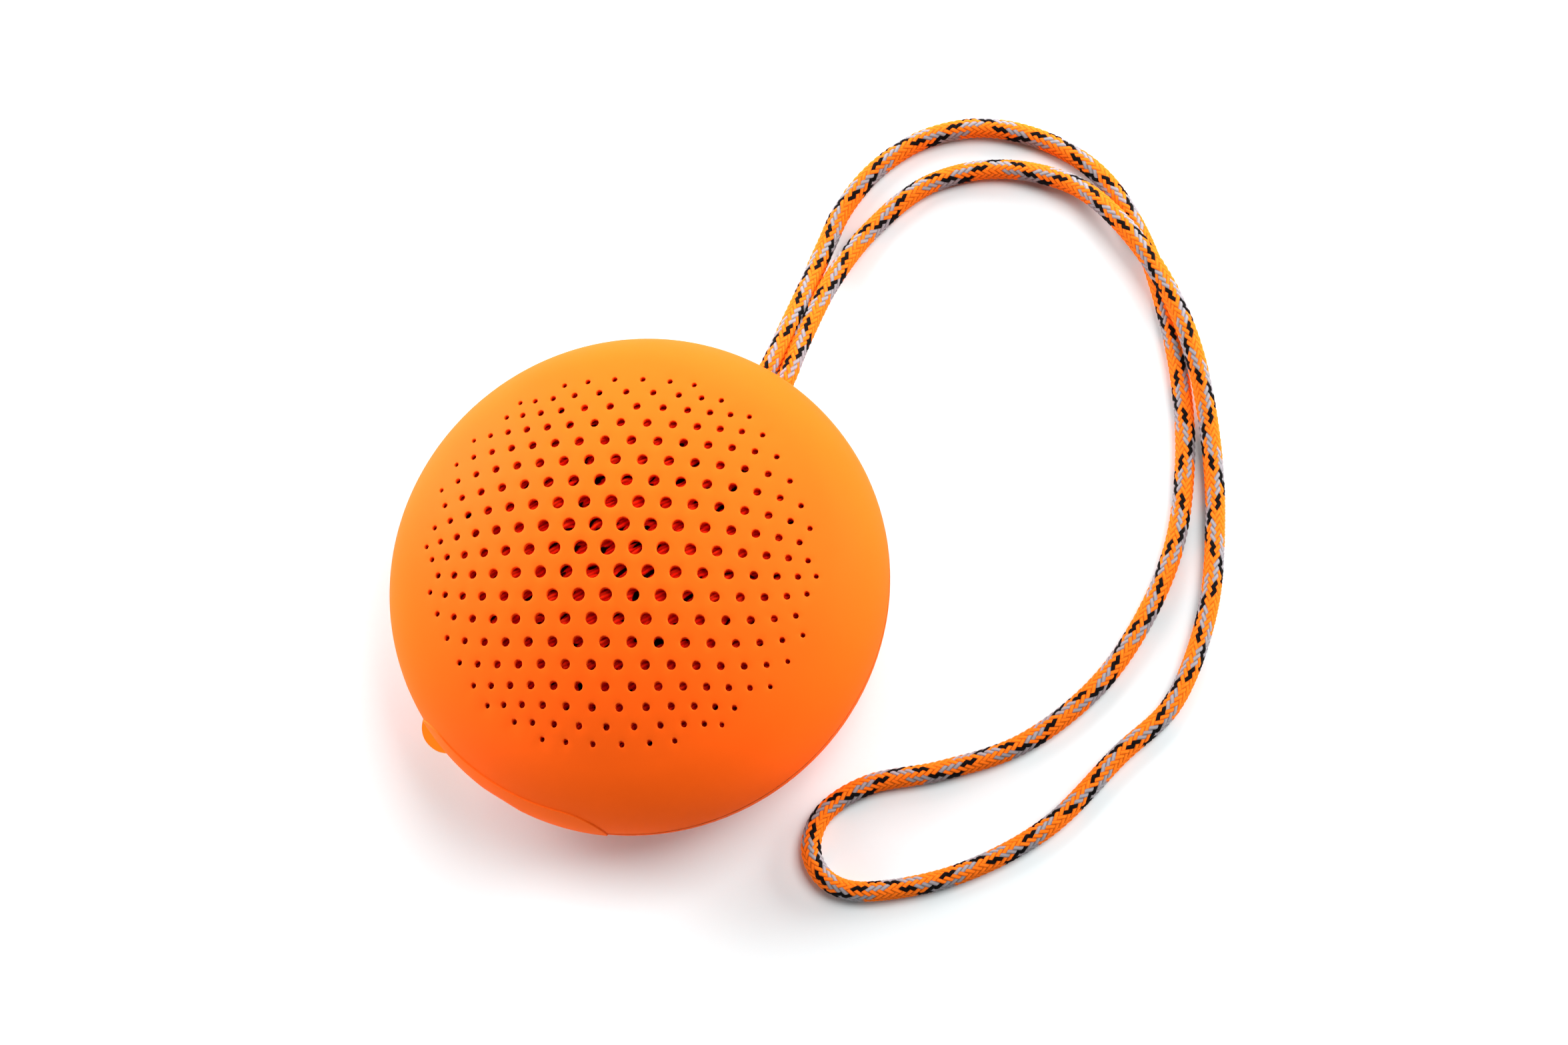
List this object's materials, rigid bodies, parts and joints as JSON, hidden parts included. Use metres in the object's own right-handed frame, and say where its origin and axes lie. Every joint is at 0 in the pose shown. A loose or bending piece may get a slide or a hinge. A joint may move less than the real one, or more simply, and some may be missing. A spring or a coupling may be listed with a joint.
{
  "type": "portable bluetooth speaker",
  "caption": "Round pebble-shaped portable speaker with a perforated dome, a padded standing base, keys on the rear face, a hinged port flap and a braided carrying loop.",
  "frame": {"origin": "centre of the body's round outline, on the plane that the rear foot rests on", "axes": "+Z out through the perforated dome, along the driver's axis; +Y towards the carrying loop; -Y towards the padded standing base"},
  "size_m": [0.1334, 0.1543, 0.044],
  "materials": {
    "shell_orange": "soft-touch matte",
    "seal_rubber": "matte",
    "liner_fabric": "creased ribbed cloth",
    "frame_plastic": "matte",
    "screw_steel": "satin",
    "basket_metal": "satin black",
    "surround_rubber": "matte",
    "cone_paper": "pressed, matte",
    "copper": "wound wire",
    "spider_fabric": "stiffened cloth",
    "motor_steel": "plated",
    "ferrite": "matte",
    "terminal_board": "matte",
    "lead_red": "satin",
    "board_green": "solder mask",
    "shield_metal": "plated",
    "connector_white": "satin",
    "switch_black": "satin",
    "led_white": "gloss",
    "light_pipe_clear": "clear",
    "battery_foil": "satin foil",
    "foam_dark": "foam",
    "key_rubber": "matte",
    "flap_rubber": "matte",
    "pad_rubber": "matte",
    "cord_braid": "braided, orange with black and grey yarns"
  },
  "bodies": {
    "housing": {"front_shell": "shell_orange", "rear_shell": "shell_orange", "shell_gasket": "seal_rubber", "grille_liner": "liner_fabric", "rear_foot": "seal_rubber", "base_pad": "pad_rubber", "shell_screws": "screw_steel", "baffle": "frame_plastic", "baffle_screws": "screw_steel", "driver_gasket": "seal_rubber", "driver_basket": "basket_metal", "driver_surround": "surround_rubber", "spider": "spider_fabric", "top_plate": "motor_steel", "magnet": "ferrite", "yoke": "motor_steel", "driver_terminal": "terminal_board", "driver_screws": "screw_steel", "driver_lead": "lead_red", "main_board": "board_green", "radio_module": "shield_metal", "board_connectors": "connector_white", "board_screws": "screw_steel", "power_switch": "switch_black", "play_switch": "switch_black", "volume_down_switch": "switch_black", "volume_up_switch": "switch_black", "microphone": "shield_metal", "status_led": "led_white", "light_pipe": "light_pipe_clear", "battery_pad": "foam_dark", "battery": "battery_foil", "battery_lead": "lead_red", "port_board": "board_green", "port_screws": "screw_steel", "usb_socket": "shield_metal", "port_lead": "lead_red", "flap_pin": "screw_steel", "cord_anchor": "frame_plastic", "anchor_screws": "screw_steel", "cord_grommet": "seal_rubber", "lanyard_cord": "cord_braid"},
    "power_key": {"power_button": "key_rubber"},
    "play_key": {"play_button": "key_rubber"},
    "volume_down_key": {"volume_down_button": "key_rubber"},
    "volume_up_key": {"volume_up_button": "key_rubber"},
    "moving_cone": {"driver_cone": "cone_paper", "dust_cap": "cone_paper", "voice_coil": "copper"},
    "flap": {"port_flap": "flap_rubber"}
  },
  "joints": [
    {"name": "power_press", "type": "slide", "parent": "housing", "child": "power_key", "axis": [0, 0, 1], "range_m": [0, 0.0006], "stiffness_N_per_m": 400},
    {"name": "play_press", "type": "slide", "parent": "housing", "child": "play_key", "axis": [0, 0, 1], "range_m": [0, 0.0006], "stiffness_N_per_m": 400},
    {"name": "volume_down_press", "type": "slide", "parent": "housing", "child": "volume_down_key", "axis": [0, 0, 1], "range_m": [0, 0.0006], "stiffness_N_per_m": 400},
    {"name": "volume_up_press", "type": "slide", "parent": "housing", "child": "volume_up_key", "axis": [0, 0, 1], "range_m": [0, 0.0006], "stiffness_N_per_m": 400},
    {"name": "cone_travel", "type": "slide", "parent": "housing", "child": "moving_cone", "axis": [0, 0, 1], "range_m": [-0.0015, 0.0015], "stiffness_N_per_m": 1500, "deforming": ["driver_surround", "spider"]},
    {"name": "flap_hinge", "type": "hinge", "parent": "housing", "child": "flap", "pos_m": [-0.01559, -0.03638, 0.00907], "axis": [0.9191, -0.3939, 0], "range_deg": [0, 95]}
  ]
}
